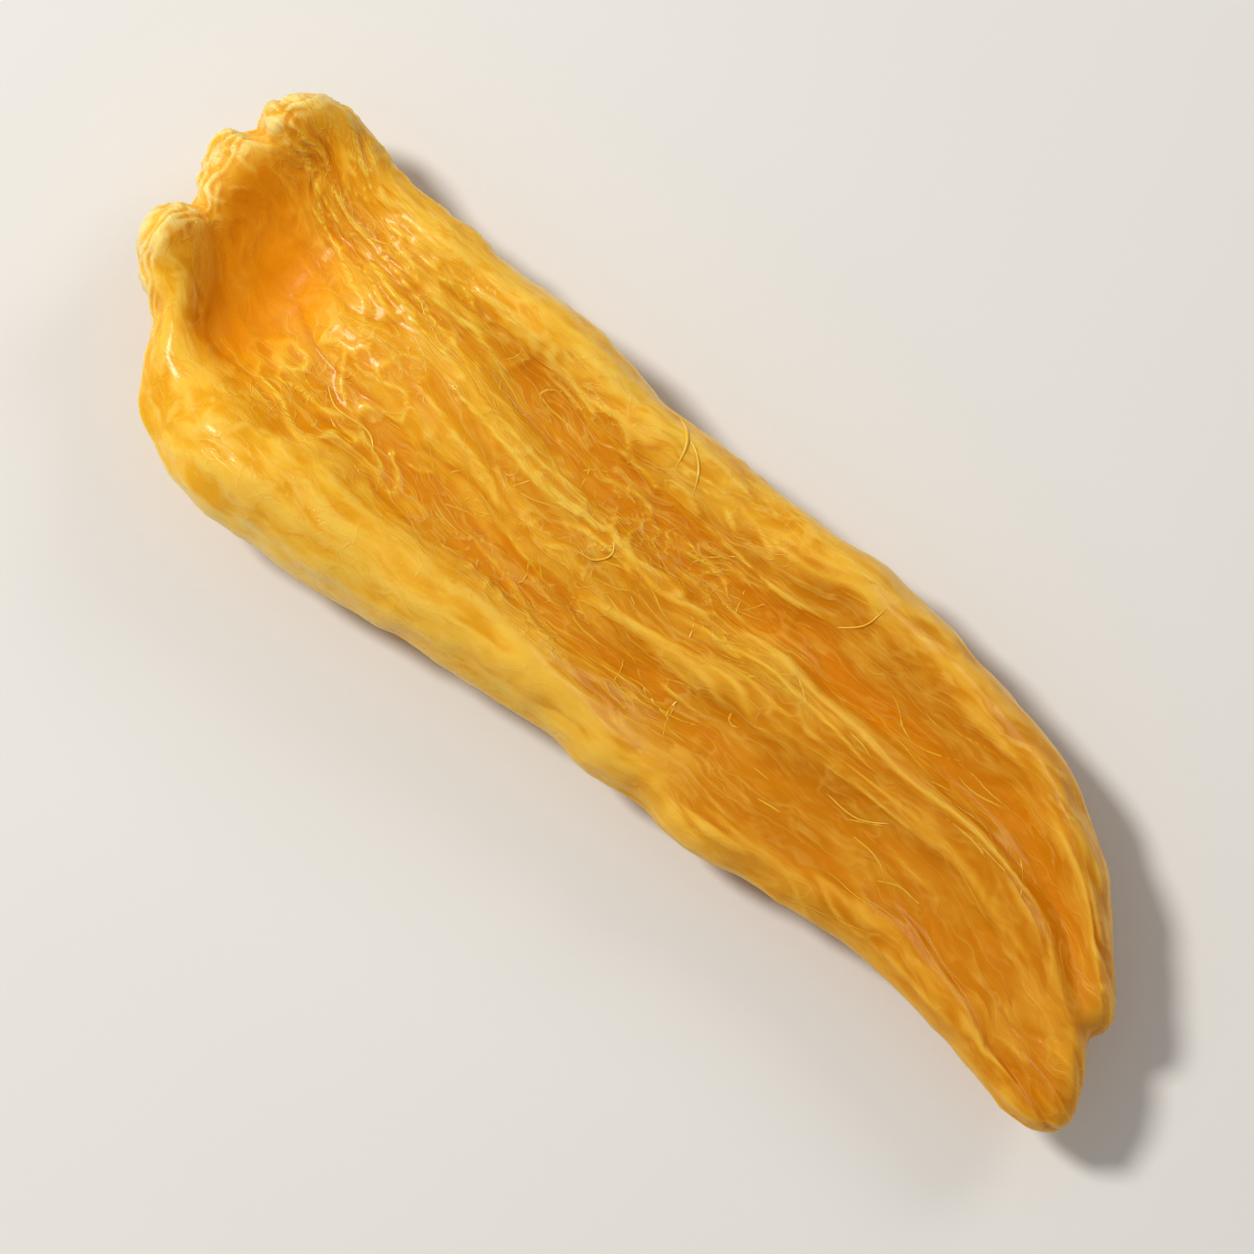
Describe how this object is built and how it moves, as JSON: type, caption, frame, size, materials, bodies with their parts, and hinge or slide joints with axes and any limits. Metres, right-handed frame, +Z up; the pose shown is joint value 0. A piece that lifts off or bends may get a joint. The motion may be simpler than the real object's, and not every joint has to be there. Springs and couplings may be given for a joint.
{
  "type": "dried jackfruit strip",
  "caption": "Dried jackfruit flesh: a long, wrinkled strip that lies on its back, with rolled long edges, a ridge between furrows, a lobed lip round a shallow hollow, and a blunt tip.",
  "frame": {"origin": "on the surface that the strip lies on, under the middle of its bounding box", "axes": "+X along the strip from its lobed lip to its blunt tip, +Z up out of the hollow side"},
  "size_m": [0.077, 0.028, 0.0093],
  "materials": {
    "dried_flesh": "satin"
  },
  "bodies": {
    "root": {"jackfruit_strip": "dried_flesh"}
  },
  "joints": []
}
